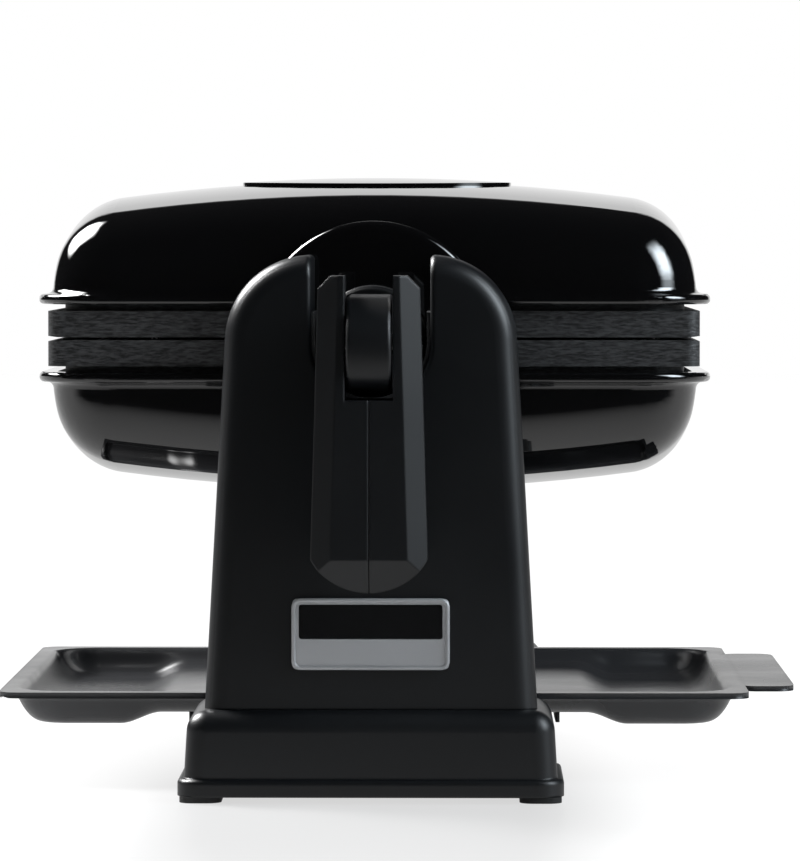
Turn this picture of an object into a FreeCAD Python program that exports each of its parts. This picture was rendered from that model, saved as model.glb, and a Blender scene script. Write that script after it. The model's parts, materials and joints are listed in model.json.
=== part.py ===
import FreeCAD
import Part
import Sketcher
import math
import os

# Flip-over waffle maker: two towers on plinths carry a two-part iron that turns about a level axis.
# The frame has +X to the viewer's right, the front at -Y and +Z up, with the origin on the table.
# Lengths are in millimetres and angles in degrees.

SIZES = {
    # stand
    "axis_height": 185.0,
    "gap_half": 120.0,
    "tower_depth": 56.0,
    "tower_wall": 3.0,
    "tower_taper": 3.2,
    "tower_edge": 9.0,
    "shoulder_radius": 35.0,
    "slot_half": 24.0,
    "slot_edge": 2.0,
    "cover_thick": 3.0,
    "fit_gap": 0.15,
    "tower_post_radius": 5.0,
    "tower_post_across": 42.0,
    "tower_post_low": 62.0,
    "tower_post_high": 146.0,
    "plinth_top": 36.8,
    "plinth_half": 75.8,
    "plinth_lean": 3.4,
    "plinth_ledge": 8.5,
    "plinth_round": 8.5,
    "plinth_wall": 4.0,
    "lip_out": 2.2,
    "lip_tall": 7.0,
    "lip_round": 2.0,
    "foot_tall": 2.4,
    "foot_wide": 17.0,
    "foot_deep": 22.0,
    "foot_inset": 1.0,
    "bottom_thick": 2.5,
    "rail_top": 35.2,
    "rail_tall": 8.0,
    "rail_half": 60.0,
    "rail_reach": 9.0,
    "bridge_half": 56.0,
    "bridge_low": 4.0,
    "bridge_high": 18.0,
    "bridge_wall": 3.0,
    "badge_wide": 63.2,
    "badge_tall": 28.4,
    "badge_thick": 1.6,
    "badge_corner": 2.0,
    "badge_height": 67.5,
    "inlay_wide": 58.0,
    "inlay_tall": 14.0,
    "inlay_thick": 0.6,
    "inlay_rise": 5.0,
    # bearings of the turning iron
    "liner_thick": 1.4,
    "liner_gap": 0.05,
    "liner_rise": 12.0,
    "liner_inset": 2.0,
    "running_gap": 0.06,
    "axle_radius": 11.0,
    "axle_bore": 6.0,
    "axle_flange": 17.0,
    "axle_flange_thick": 4.0,
    "bush_wall": 4.0,
    "bush_long": 28.0,
    "bush_flange": 19.0,
    "bush_flange_thick": 2.0,
    "bush_seat_wall": 3.0,
    "ring_gap": 0.3,
    "ring_thick": 2.0,
    "ring_wall": 4.0,
    "axle_tail": 4.0,
    # controls on the rear tower
    "dial_back": 32.0,
    "dial_radius": 14.0,
    "dial_grip_radius": 11.0,
    "dial_skirt": 3.0,
    "dial_grip_tall": 9.0,
    "dial_lift": 0.4,
    "dial_mark": 1.6,
    "spindle_radius": 3.5,
    "spindle_into_dial": 8.0,
    "thermostat_radius": 13.0,
    "thermostat_tall": 13.0,
    "lamp_radius": 3.2,
    "lamp_head": 4.4,
    "lamp_head_tall": 1.6,
    "lamp_across": 13.0,
    "lamp_back": 10.0,
    "gland_radius": 6.5,
    "gland_head": 9.5,
    "gland_head_thick": 2.5,
    "gland_bore": 3.8,
    "gland_height": 58.0,
    # iron
    "front_gap": 11.0,
    "iron_depth": 173.0,
    "casing_over": 0.4,
    "casing_wall": 2.6,
    "crown_height": 66.5,
    "crown_slope": 12.0,
    "crown_across": 830.0,
    "casing_draft": 8.0,
    "edge_round": 30.0,
    "corner_round": 28.0,
    "flange_level": 14.2,
    "flange_thick": 4.2,
    "flange_out": 5.0,
    "flange_blend": 3.0,
    "flange_round": 1.8,
    "boss_radius": 49.0,
    "boss_reach": 8.0,
    "boss_root": 14.0,
    "boss_round": 4.0,
    "boss_gap": 1.6,
    "boss_shy": 0.6,
    "panel_half_wide": 58.0,
    "panel_half_deep": 40.0,
    "panel_rise": 1.2,
    "casing_post_radius": 5.0,
    "casing_post_in": 11.8,
    "casing_post_along": 24.5,
    # waffle plates
    "plate_half": 135.8,
    "plate_margin": 16.0,
    "plate_corner": 6.0,
    "part_gap": 0.6,
    "plate_rim_top": 11.5,
    "plate_neck_inset": 5.5,
    "plate_back": 18.0,
    "bevel_long": 4.5,
    "bevel_rise": 0.5,
    "grid_pitch": 28.0,
    "grid_web": 7.0,
    "grid_depth": 9.0,
    "grid_draft": 8.0,
    "stud_half": 9.6,
    "stud_draft": 14.0,
    "stud_shy": 0.8,
    "stud_root": 0.4,
    "screw_radius": 1.6,
    "screw_head": 3.2,
    "screw_head_tall": 2.4,
    "screw_sink": 3.4,
    "screw_gap": 0.1,
    "screw_bite": 11.0,
    "heater_radius": 3.5,
    "heater_half_wide": 92.0,
    "heater_half_deep": 56.0,
    "heater_bend": 22.0,
    "heater_break": 16.0,
    "heater_seat": 0.1,
    "pan_half_wide": 112.0,
    "pan_half_deep": 72.0,
    "pan_corner": 30.0,
    "pan_tall": 10.0,
    "pan_thick": 0.8,
    # neck, handle bracket and handle
    "neck_gap": 1.6,
    "neck_long": 45.0,
    "neck_bevel": 1.5,
    "neck_shy": 0.6,
    "tongue_half": 8.9,
    "tongue_radius": 19.2,
    "tongue_edge": 1.6,
    "pivot_reach": 44.0,
    "handle_pin_radius": 4.0,
    "fork_half": 9.5,
    "fork_low": 22.0,
    "lug_top": 27.0,
    "lug_half": 20.2,
    "lug_bevel": 5.0,
    "handle_half": 23.2,
    "handle_end": 98.6,
    "handle_end_radius": 26.7,
    "handle_thick": 28.0,
    "handle_facet": 8.0,
    "handle_facet_deep": 5.0,
    "handle_back_bevel": 4.0,
    "handle_end_deep": 9.0,
    "handle_seam": 0.15,
    "handle_screw_first": 42.0,
    "handle_screw_second": 74.0,
    "handle_wall": 4.0,
    # rear hinge
    "hinge_back": 14.0,
    "hinge_rise": 16.5,
    "hinge_pin_radius": 3.0,
    "knuckle_radius": 6.5,
    "ear_inner": 50.0,
    "ear_thick": 6.0,
    "arm_thick": 10.0,
    "ear_side_gap": 0.3,
    "bracket_half": 78.0,
    "bracket_margin": 0.4,
    "bracket_tall": 9.0,
    "web_gap": 7.4,
    "web_thick": 5.6,
    "web_top": 6.0,
    "lid_plate_thick": 5.0,
    # drip tray
    "tray_half": 156.4,
    "tray_end_gap": 5.0,
    "tray_rim_top": 38.0,
    "tray_rim_thick": 2.5,
    "tray_rim_wide": 7.0,
    "tray_corner": 8.0,
    "tray_wall": 2.0,
    "tray_well_low": 23.6,
    "tray_floor_low": 28.4,
    "tray_well_out": 142.0,
    "tray_well_in": 118.0,
    "tray_floor_half": 92.0,
    "tray_rib_across": 77.0,
    "tray_rib_thick": 2.0,
    "tray_rib_half": 92.0,
    "tab_long": 21.0,
    "tab_half": 81.0,
    "tab_corner": 8.0,
}

TOLERANCE = 0.01

doc = FreeCAD.newDocument("waffle_maker")
sheet = doc.addObject("Spreadsheet::Sheet", "Sizes")
for row, (alias, number) in enumerate(SIZES.items(), start=1):
    sheet.set(f"A{row}", alias)
    sheet.set(f"B{row}", str(number))
    sheet.setAlias(f"B{row}", alias)
doc.recompute()


class Size:
    """A length that carries its number and the sheet formula that gives it."""

    def __init__(self, value, text):
        self.value = float(value)
        self.text = text

    def __add__(self, other):
        other = as_size(other)
        return Size(self.value + other.value, f"({self.text} + {other.text})")

    def __sub__(self, other):
        other = as_size(other)
        return Size(self.value - other.value, f"({self.text} - {other.text})")

    def __mul__(self, other):
        other = as_size(other)
        return Size(self.value * other.value, f"({self.text} * {other.text})")

    def __truediv__(self, other):
        other = as_size(other)
        return Size(self.value / other.value, f"({self.text} / {other.text})")

    def __radd__(self, other):
        return as_size(other) + self

    def __rsub__(self, other):
        return as_size(other) - self

    def __rmul__(self, other):
        return as_size(other) * self

    def __neg__(self):
        return Size(-self.value, f"(-1 * {self.text})")


def as_size(item):
    if isinstance(item, Size):
        return item
    return Size(item, f"({float(item)})")


def root(size):
    return Size(math.sqrt(size.value), f"sqrt({size.text})")


def cosine(angle):
    return Size(math.cos(math.radians(angle.value)), f"cos({angle.text})")


def sine(angle):
    return Size(math.sin(math.radians(angle.value)), f"sin({angle.text})")


def tangent(angle):
    return Size(math.tan(math.radians(angle.value)), f"tan({angle.text})")


def arc_tangent(ratio):
    return Size(math.degrees(math.atan(ratio.value)), f"atan({ratio.text})")


class Sizes:
    """The sheet's cells as attributes."""

    def __getattr__(self, alias):
        return Size(SIZES[alias], f"Sizes.{alias}")


S = Sizes()
ZERO = as_size(0)
sub_parts = []


def bind(target, prop, size):
    target.setExpression(prop, as_size(size).text)


def keep(item, label):
    """Name a finished sub-part, which is written out at the end."""
    item.Label = label
    sub_parts.append(item)
    return item


def place(item, x=ZERO, y=ZERO, z=ZERO, axis=None, angle=0):
    rotation = FreeCAD.Rotation()
    if axis is not None:
        rotation = FreeCAD.Rotation(FreeCAD.Vector(*axis), angle)
    base = FreeCAD.Vector(as_size(x).value, as_size(y).value, as_size(z).value)
    item.Placement = FreeCAD.Placement(base, rotation)
    for name, size in (("x", x), ("y", y), ("z", z)):
        bind(item, f".Placement.Base.{name}", size)
    return item


# Profiles

class Loop:
    """A closed outline of straight and round stretches, drawn from point to point."""

    def __init__(self, x, y):
        self.points = [(as_size(x), as_size(y))]
        self.steps = []

    def line(self, x, y):
        self.steps.append(None)
        self.points.append((as_size(x), as_size(y)))
        return self

    def arc(self, x, y, centre_x, centre_y, turn=1):
        self.steps.append((as_size(centre_x), as_size(centre_y), turn))
        self.points.append((as_size(x), as_size(y)))
        return self

    def close(self):
        self.steps.append(None)
        return self


class Circle:
    def __init__(self, x, y, radius):
        self.x = as_size(x)
        self.y = as_size(y)
        self.radius = as_size(radius)


def rounded_rectangle(x, y, half_x, half_y, corner):
    """A rectangle about a centre, with quarter-round corners."""
    x = as_size(x)
    y = as_size(y)
    in_x = half_x - corner
    in_y = half_y - corner
    loop = Loop(x - in_x, y - half_y)
    loop.line(x + in_x, y - half_y)
    loop.arc(x + half_x, y - in_y, x + in_x, y - in_y)
    loop.line(x + half_x, y + in_y)
    loop.arc(x + in_x, y + half_y, x + in_x, y + in_y)
    loop.line(x - in_x, y + half_y)
    loop.arc(x - half_x, y + in_y, x - in_x, y + in_y)
    loop.line(x - half_x, y - in_y)
    loop.arc(x - in_x, y - half_y, x - in_x, y - in_y)
    return loop


def polygon(*points):
    loop = Loop(*points[0])
    for point in points[1:]:
        loop.line(*point)
    return loop.close()


def rectangle(low_x, low_y, high_x, high_y):
    return polygon((low_x, low_y), (high_x, low_y), (high_x, high_y), (low_x, high_y))


def vector(point):
    return FreeCAD.Vector(point[0].value, point[1].value, 0)


def pin_point(sketch, geometry, position, x, y):
    """Hold one point of the sketch at sheet-driven coordinates."""
    if x is not None:
        rule = sketch.addConstraint(Sketcher.Constraint("DistanceX", -1, 1, geometry, position, x.value))
        bind(sketch, f"Constraints[{rule}]", x)
    if y is not None:
        rule = sketch.addConstraint(Sketcher.Constraint("DistanceY", -1, 1, geometry, position, y.value))
        bind(sketch, f"Constraints[{rule}]", y)


def draw_circle(sketch, circle):
    centre = FreeCAD.Vector(circle.x.value, circle.y.value, 0)
    round_edge = Part.Circle(centre, FreeCAD.Vector(0, 0, 1), circle.radius.value)
    geometry = sketch.addGeometry(round_edge, False)
    pin_point(sketch, geometry, 3, circle.x, circle.y)
    rule = sketch.addConstraint(Sketcher.Constraint("Radius", geometry, circle.radius.value))
    bind(sketch, f"Constraints[{rule}]", circle.radius)


def draw_loop(sketch, loop, closed=True):
    ends = []
    count = len(loop.steps)
    for index, step in enumerate(loop.steps):
        start = vector(loop.points[index])
        finish = vector(loop.points[(index + 1) % len(loop.points)])
        if step is None:
            geometry = sketch.addGeometry(Part.LineSegment(start, finish), False)
            ends.append((geometry, 1, 2))
            continue
        centre = FreeCAD.Vector(step[0].value, step[1].value, 0)
        radius = (start - centre).Length
        first, last = (start, finish) if step[2] > 0 else (finish, start)
        low = math.atan2(first.y - centre.y, first.x - centre.x)
        high = math.atan2(last.y - centre.y, last.x - centre.x)
        if high <= low:
            high += 2 * math.pi
        circle = Part.Circle(centre, FreeCAD.Vector(0, 0, 1), radius)
        geometry = sketch.addGeometry(Part.ArcOfCircle(circle, low, high), False)
        ends.append((geometry, 1, 2) if step[2] > 0 else (geometry, 2, 1))
    for index in range(count if closed else count - 1):
        here = ends[index]
        there = ends[(index + 1) % count]
        sketch.addConstraint(Sketcher.Constraint("Coincident", here[0], here[2], there[0], there[1]))
    for index, (geometry, first, last) in enumerate(ends):
        pin_point(sketch, geometry, first, *loop.points[index])
    if not closed:
        pin_point(sketch, ends[-1][0], ends[-1][2], *loop.points[-1])
    for index, step in enumerate(loop.steps):
        if step is None:
            continue
        chord = vector(loop.points[(index + 1) % len(loop.points)]) - vector(loop.points[index])
        if abs(chord.x) > abs(chord.y):
            pin_point(sketch, ends[index][0], 3, None, step[1])
        else:
            pin_point(sketch, ends[index][0], 3, step[0], None)


def new_body(name):
    body = doc.addObject("PartDesign::Body", name)
    body.AllowCompound = True
    return body


def draw(body, plane, offset, shapes, closed=True):
    """A sketch on one of the body's own planes, moved along the plane's normal by an offset."""
    sketch = body.newObject("Sketcher::SketchObject", f"{body.Name}_sketch")
    support = [item for item in body.Origin.OriginFeatures if item.Role == f"{plane}_Plane"][0]
    sketch.AttachmentSupport = [(support, "")]
    sketch.MapMode = "FlatFace"
    bind(sketch, ".AttachmentOffset.Base.z", offset)
    for shape in shapes:
        if isinstance(shape, Circle):
            draw_circle(sketch, shape)
        else:
            draw_loop(sketch, shape, closed)
    sketch.Visibility = False
    return sketch


def pad(body, plane, offset, shapes, length, back=False, taper=None):
    feature = body.newObject("PartDesign::Pad", f"{body.Name}_pad")
    feature.Profile = draw(body, plane, offset, shapes)
    feature.Reversed = back
    bind(feature, "Length", length)
    if taper is not None:
        bind(feature, "TaperAngle", taper)
    doc.recompute()
    return feature


def pocket(body, plane, offset, shapes, length, back=False, taper=None):
    """A cut, which has to take material away."""
    before = body.Shape.Volume
    feature = body.newObject("PartDesign::Pocket", f"{body.Name}_pocket")
    feature.Profile = draw(body, plane, offset, shapes)
    feature.Reversed = back
    bind(feature, "Length", length)
    if taper is not None:
        bind(feature, "TaperAngle", taper)
    doc.recompute()
    if body.Shape.Volume > before - TOLERANCE:
        raise RuntimeError(f"a pocket of {body.Label} cuts nothing")
    return feature


def fillet(body, radius, wanted):
    """Round the body's edges for which wanted(edge) is true."""
    base = body.Tip
    names = [f"Edge{n}" for n, edge in enumerate(base.Shape.Edges, start=1) if wanted(edge)]
    feature = body.newObject("PartDesign::Fillet", f"{body.Name}_fillet")
    feature.Base = (base, names)
    bind(feature, "Radius", radius)
    doc.recompute()
    return feature


def chamfer(body, size, second, wanted, flip=False):
    """Bevel the body's edges for which wanted(edge) is true, with a size on each side."""
    base = body.Tip
    names = [f"Edge{n}" for n, edge in enumerate(base.Shape.Edges, start=1) if wanted(edge)]
    feature = body.newObject("PartDesign::Chamfer", f"{body.Name}_chamfer")
    feature.Base = (base, names)
    feature.ChamferType = "Two distances"
    feature.FlipDirection = flip
    bind(feature, "Size", size)
    bind(feature, "Size2", second)
    doc.recompute()
    return feature


def flat_at(edge, axis, size):
    """True when the whole edge lies in the plane across an axis at a size."""
    level = as_size(size).value
    box = edge.BoundBox
    low = getattr(box, f"{axis}Min")
    high = getattr(box, f"{axis}Max")
    return abs(low - level) < TOLERANCE and abs(high - level) < TOLERANCE


def middle(edge):
    return edge.valueAt((edge.FirstParameter + edge.LastParameter) / 2)


def cylinder(name, radius, length, x, y, z, axis=None, angle=0):
    item = doc.addObject("Part::Cylinder", name)
    bind(item, "Radius", radius)
    bind(item, "Height", length)
    return place(item, x, y, z, axis, angle)


def cut(name, base, tool):
    item = doc.addObject("Part::Cut", name)
    item.Base = base
    item.Tool = tool
    return item


def mirrored(name, source):
    """The lower twin of a piece of the upper iron, mirrored in the parting plane."""
    item = doc.addObject("Part::Mirroring", name)
    item.Source = source
    item.Normal = FreeCAD.Vector(0, 0, 1)
    bind(item, ".Base.z", S.axis_height)
    return item


# Shared places, worked out from the sizes

tower_front = S.gap_half + S.tower_depth
shoulder_top = S.axis_height + S.shoulder_radius
iron_front = S.front_gap - S.gap_half
iron_back = iron_front + S.iron_depth
iron_middle = iron_front + S.iron_depth / 2
casing_half = S.plate_half + S.casing_over
plate_deep_half = S.iron_depth / 2 - S.casing_over
flange_top = S.flange_level + S.flange_thick
boss_front = iron_front - S.boss_reach
neck_radius = S.slot_half - S.liner_gap - S.liner_thick - S.running_gap
neck_front = boss_front - S.neck_long
pivot_front = neck_front - S.pivot_reach
hinge_y = iron_back + S.hinge_back
web_front = iron_back + S.web_gap
web_back = web_front + S.web_thick
bracket_low = flange_top + S.flange_blend + S.bracket_margin
bracket_high = bracket_low + S.bracket_tall
bush_radius = S.axle_radius + S.running_gap + S.bush_wall
plinth_front = tower_front + S.plinth_ledge
tray_deep_half = S.gap_half - S.tray_end_gap


# Towers

def tower_outline(inset, foot, slotted):
    """Front outline of a tower: leaning sides, round shoulders and, in front, a slot open at the top."""
    round_radius = S.shoulder_radius - inset
    side_x = S.slot_half + round_radius * cosine(S.tower_taper)
    side_z = S.axis_height + round_radius * sine(S.tower_taper)
    foot_x = side_x + (side_z - foot) * tangent(S.tower_taper)
    loop = Loop(foot_x, foot)
    loop.line(side_x, side_z)
    if slotted:
        slot = S.slot_half + inset
        top = S.axis_height + root(round_radius * round_radius - as_size(inset) * inset)
        loop.arc(slot, top, S.slot_half, S.axis_height)
        loop.line(slot, S.axis_height)
        loop.arc(-slot, S.axis_height, 0, S.axis_height, turn=-1)
        loop.line(-slot, top)
    else:
        top = S.axis_height + round_radius
        loop.arc(S.slot_half, top, S.slot_half, S.axis_height)
        loop.line(-S.slot_half, top)
    loop.arc(-side_x, side_z, -S.slot_half, S.axis_height)
    loop.line(-foot_x, foot)
    return loop.close()


def tower_posts(radius):
    """The four screw posts that carry a tower's inner cover."""
    posts = []
    for height in (S.tower_post_low, S.tower_post_high):
        for side in (-1, 1):
            posts.append(Circle(side * S.tower_post_across, height, radius))
    return posts


def make_tower(name, slotted, back):
    """A tower shell, open towards the iron, with posts for its cover."""
    body = new_body(name)
    inner = -S.gap_half if back else S.gap_half
    pad(body, "XZ", inner, [tower_outline(ZERO, S.plinth_top, slotted)], S.tower_depth, back)
    outer_y = tower_front if back else -tower_front

    def on_side(edge):
        point = middle(edge)
        above = point.z > S.plinth_top.value + TOLERANCE
        if slotted and abs(point.x) < S.slot_half.value + TOLERANCE:
            return False
        return above and flat_at(edge, "Y", outer_y)

    def on_slot(edge):
        point = middle(edge)
        inside = abs(point.x) < S.slot_half.value + TOLERANCE
        return inside and point.z > S.plinth_top.value + TOLERANCE and flat_at(edge, "Y", outer_y)

    fillet(body, S.tower_edge, on_side)
    if slotted:
        fillet(body, S.slot_edge, on_slot)
    hollow = tower_outline(S.tower_wall, S.plinth_top + S.tower_wall, slotted)
    pocket(body, "XZ", inner, [hollow] + tower_posts(S.tower_post_radius),
           S.tower_depth - S.tower_wall, not back)
    seat = tower_outline(S.tower_wall, S.plinth_top + S.tower_wall, slotted)
    pocket(body, "XZ", inner, [seat], S.cover_thick, not back)
    pocket(body, "XZ", inner, tower_posts(S.screw_radius), S.cover_thick + S.screw_bite, not back)
    return body


def make_tower_cover(name, slotted, back):
    """The flush inner cover of a tower, with clearance holes for its screws."""
    body = new_body(name)
    inner = -S.gap_half if back else S.gap_half
    inset = S.tower_wall + S.fit_gap
    outline = tower_outline(inset, S.plinth_top + inset, slotted)
    pad(body, "XZ", inner, [outline], S.cover_thick, back)
    pocket(body, "XZ", inner, tower_posts(S.screw_radius + S.screw_gap), S.cover_thick, not back)
    return body


def make_tower_screws():
    """Pan-head screws through both covers into the posts."""
    body = new_body("cover_screws")
    for back in (False, True):
        inner = -S.gap_half if back else S.gap_half
        pad(body, "XZ", inner, tower_posts(S.screw_head), S.screw_head_tall, not back)
        pad(body, "XZ", inner, tower_posts(S.screw_radius), S.cover_thick + S.screw_bite, back)
    return body


keep(make_tower("front_tower", True, False), "front_tower")
keep(make_tower_cover("front_tower_cover", True, False), "front_tower_cover")

rear_tower = make_tower("rear_tower", False, True)
dial_y = S.gap_half + S.dial_back
lamp_y = S.gap_half + S.lamp_back
top_holes = [Circle(0, dial_y, S.spindle_radius + S.running_gap)]
for side in (-1, 1):
    top_holes.append(Circle(side * S.lamp_across, lamp_y, S.lamp_radius + S.screw_gap))
pocket(rear_tower, "XY", shoulder_top, top_holes, S.tower_wall + S.fit_gap)
gland_hole = Circle(0, S.gland_height, S.gland_radius + S.screw_gap)
pocket(rear_tower, "XZ", -tower_front, [gland_hole], S.tower_wall + S.fit_gap, True)
keep(rear_tower, "rear_tower")

rear_cover = make_tower_cover("rear_tower_cover", False, True)
seat_radius = bush_radius + S.liner_gap
seat_ring = [Circle(0, S.axis_height, seat_radius + S.bush_seat_wall), Circle(0, S.axis_height, seat_radius)]
pocket(rear_cover, "XZ", -S.gap_half, [Circle(0, S.axis_height, seat_radius)], S.cover_thick, False)
pad(rear_cover, "XZ", -(S.gap_half + S.cover_thick), seat_ring, S.bush_long / 2, True)
keep(rear_cover, "rear_tower_cover")
keep(make_tower_screws(), "cover_screws")


# Plinths, feet and the bridge between the plinths

def lip_outline(grow):
    """Plan of a plinth's lip: square towards the iron, round at its two outer corners."""
    half = S.plinth_half + grow
    front = -(plinth_front + grow)
    corner = S.plinth_round + grow
    loop = Loop(half, -S.gap_half)
    loop.line(-half, -S.gap_half)
    loop.line(-half, front + corner)
    loop.arc(-half + corner, front, -half + corner, front + corner)
    loop.line(half - corner, front)
    loop.arc(half, front + corner, half - corner, front + corner)
    return loop.close()


def make_plinth(name, turned):
    """A hollow plinth with a leaning wall, a round ledge, a foot lip and a rail for the tray."""
    body = new_body(name)
    top_half = S.plinth_half - (S.plinth_top - S.foot_tall) * tangent(S.plinth_lean)
    wall = polygon((-S.plinth_half, S.foot_tall), (S.plinth_half, S.foot_tall),
                   (top_half, S.plinth_top), (-top_half, S.plinth_top))
    pad(body, "XZ", S.gap_half, [wall], plinth_front - S.gap_half)

    def on_ledge(edge):
        point = middle(edge)
        if point.z < S.foot_tall.value + TOLERANCE or flat_at(edge, "Y", -S.gap_half):
            return False
        return flat_at(edge, "Y", -plinth_front) or flat_at(edge, "Z", S.plinth_top)

    fillet(body, S.plinth_round, on_ledge)
    pad(body, "XY", S.foot_tall, [lip_outline(S.lip_out)], S.lip_tall)

    def on_lip(edge):
        point = middle(edge)
        outside = abs(point.x) > S.plinth_half.value + TOLERANCE
        outside = outside or point.y < -(plinth_front.value + TOLERANCE)
        on_top = flat_at(edge, "Z", S.foot_tall + S.lip_tall)
        return outside and on_top and not flat_at(edge, "Y", -S.gap_half)

    fillet(body, S.lip_round, on_lip)
    inner_half = top_half - S.plinth_wall
    near = S.gap_half + S.plinth_wall
    hollow = rectangle(-inner_half, -(plinth_front - S.plinth_wall), inner_half, -near)
    pocket(body, "XY", S.foot_tall, [hollow], S.plinth_top - S.plinth_wall - S.foot_tall, True)
    rail = rectangle(-S.rail_half, S.rail_top - S.rail_tall, S.rail_half, S.rail_top)
    pad(body, "XZ", S.gap_half, [rail], S.rail_reach, True)
    return place(body, axis=(0, 0, 1), angle=180 if turned else 0)


def make_bottom_plate(name, turned):
    """The plate that closes a plinth from below."""
    body = new_body(name)
    top_half = S.plinth_half - (S.plinth_top - S.foot_tall) * tangent(S.plinth_lean)
    half = top_half - S.plinth_wall - S.fit_gap
    front = plinth_front - S.plinth_wall - S.fit_gap
    near = S.gap_half + S.plinth_wall + S.fit_gap
    pad(body, "XY", S.foot_tall, [rectangle(-half, -front, half, -near)], S.bottom_thick)
    return place(body, axis=(0, 0, 1), angle=180 if turned else 0)


def make_feet():
    """Four rubber pads under the outer corners of the plinths."""
    body = new_body("rubber_feet")
    across = S.plinth_half + S.lip_out - S.foot_inset - S.foot_wide / 2
    along = plinth_front + S.lip_out - S.foot_inset - S.foot_deep / 2
    pads = []
    for side in (-1, 1):
        for end in (-1, 1):
            pads.append(rounded_rectangle(side * across, end * along, S.foot_wide / 2, S.foot_deep / 2,
                                          S.foot_wide / 3))
    pad(body, "XY", 0, pads, S.foot_tall)
    return body


def make_bridge():
    """The channel that joins the two plinths under the tray."""
    body = new_body("base_bridge")
    inner = S.bridge_half - S.bridge_wall
    roof = S.bridge_high - S.bridge_wall
    channel = polygon((S.bridge_half, S.bridge_low), (S.bridge_half, S.bridge_high),
                      (-S.bridge_half, S.bridge_high), (-S.bridge_half, S.bridge_low),
                      (-inner, S.bridge_low), (-inner, roof), (inner, roof), (inner, S.bridge_low))
    pad(body, "XZ", -S.gap_half, [channel], 2 * S.gap_half)
    return body


keep(make_plinth("front_plinth", False), "front_plinth")
keep(make_plinth("rear_plinth", True), "rear_plinth")
keep(make_bottom_plate("front_bottom_plate", False), "front_bottom_plate")
keep(make_bottom_plate("rear_bottom_plate", True), "rear_bottom_plate")
keep(make_feet(), "rubber_feet")
keep(make_bridge(), "base_bridge")


# Badge plate and its dark inlay, both bare

def make_badge():
    body = new_body("badge_plate")
    plate = rounded_rectangle(0, S.badge_height, S.badge_wide / 2, S.badge_tall / 2, S.badge_corner)
    pad(body, "XZ", tower_front, [plate], S.badge_thick)
    recess = rounded_rectangle(0, S.badge_height + S.inlay_rise, S.inlay_wide / 2, S.inlay_tall / 2,
                               S.badge_corner / 2)
    pocket(body, "XZ", tower_front + S.badge_thick, [recess], S.inlay_thick)
    return body


def make_inlay():
    body = new_body("badge_inlay")
    half_wide = S.inlay_wide / 2 - S.fit_gap
    half_tall = S.inlay_tall / 2 - S.fit_gap
    inlay = rounded_rectangle(0, S.badge_height + S.inlay_rise, half_wide, half_tall, S.badge_corner / 2)
    pad(body, "XZ", tower_front + S.badge_thick - S.inlay_thick, [inlay], S.inlay_thick)
    return body


keep(make_badge(), "badge_plate")
keep(make_inlay(), "badge_inlay")


# Bearings of the turning iron

def make_liner():
    """The cradle liner: a round-bottomed channel in the slot, open at the top."""
    body = new_body("cradle_liner")
    outer = S.slot_half - S.liner_gap
    inner = outer - S.liner_thick
    top = S.axis_height + S.liner_rise
    loop = Loop(outer, top)
    loop.line(inner, top)
    loop.line(inner, S.axis_height)
    loop.arc(-inner, S.axis_height, 0, S.axis_height, turn=-1)
    loop.line(-inner, top)
    loop.line(-outer, top)
    loop.line(-outer, S.axis_height)
    loop.arc(outer, S.axis_height, 0, S.axis_height)
    pad(body, "XZ", S.gap_half, [loop.close()], S.tower_depth - S.slot_edge - S.liner_inset)
    return body


def make_bush():
    """The flanged bush that carries the rear axle."""
    body = new_body("rear_bush")
    bore = Circle(0, S.axis_height, S.axle_radius + S.running_gap)
    pad(body, "XZ", -S.gap_half, [Circle(0, S.axis_height, bush_radius), bore], S.bush_long, True)
    flange = [Circle(0, S.axis_height, S.bush_flange), bore]
    pad(body, "XZ", -S.gap_half, flange, S.bush_flange_thick)
    return body


keep(make_liner(), "cradle_liner")
keep(make_bush(), "rear_bush")


# Controls and cord gland on the rear tower

def make_thermostat():
    body = new_body("thermostat")
    low = shoulder_top - S.tower_wall - S.thermostat_tall
    case = [Circle(0, dial_y, S.thermostat_radius), Circle(0, dial_y, S.spindle_radius + S.running_gap)]
    pad(body, "XY", low, case, S.thermostat_tall)
    return body


def make_dial():
    """A round dial with a skirt, a grip and a pointer groove."""
    body = new_body("temperature_dial")
    low = shoulder_top + S.dial_lift
    pad(body, "XY", low, [Circle(0, dial_y, S.dial_radius)], S.dial_skirt)
    pad(body, "XY", low + S.dial_skirt, [Circle(0, dial_y, S.dial_grip_radius)], S.dial_grip_tall)
    high = low + S.dial_skirt + S.dial_grip_tall
    fillet(body, S.dial_mark, lambda edge: flat_at(edge, "Z", high))
    mark = rectangle(-S.dial_mark / 2, dial_y - S.dial_grip_radius, S.dial_mark / 2, dial_y - S.dial_mark)
    pocket(body, "XY", high, [mark], S.dial_mark / 2)
    pocket(body, "XY", low, [Circle(0, dial_y, S.spindle_radius)], S.spindle_into_dial, True)
    return body


def make_lamp(name, side):
    """A pilot lamp's lens: a domed head over a short barrel."""
    body = new_body(name)
    x = side * S.lamp_across
    pad(body, "XY", shoulder_top, [Circle(x, lamp_y, S.lamp_head)], S.lamp_head_tall)
    fillet(body, S.lamp_head_tall * 0.8, lambda edge: flat_at(edge, "Z", shoulder_top + S.lamp_head_tall))
    pad(body, "XY", shoulder_top, [Circle(x, lamp_y, S.lamp_radius)], 2 * S.tower_wall, True)
    return body


def make_gland():
    """The cord gland: a flanged ring in the rear wall."""
    body = new_body("cord_gland")
    bore = Circle(0, S.gland_height, S.gland_bore)
    pad(body, "XZ", -tower_front, [Circle(0, S.gland_height, S.gland_head), bore], S.gland_head_thick, True)
    pad(body, "XZ", -tower_front, [Circle(0, S.gland_height, S.gland_radius), bore], 2 * S.tower_wall)
    return body


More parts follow.
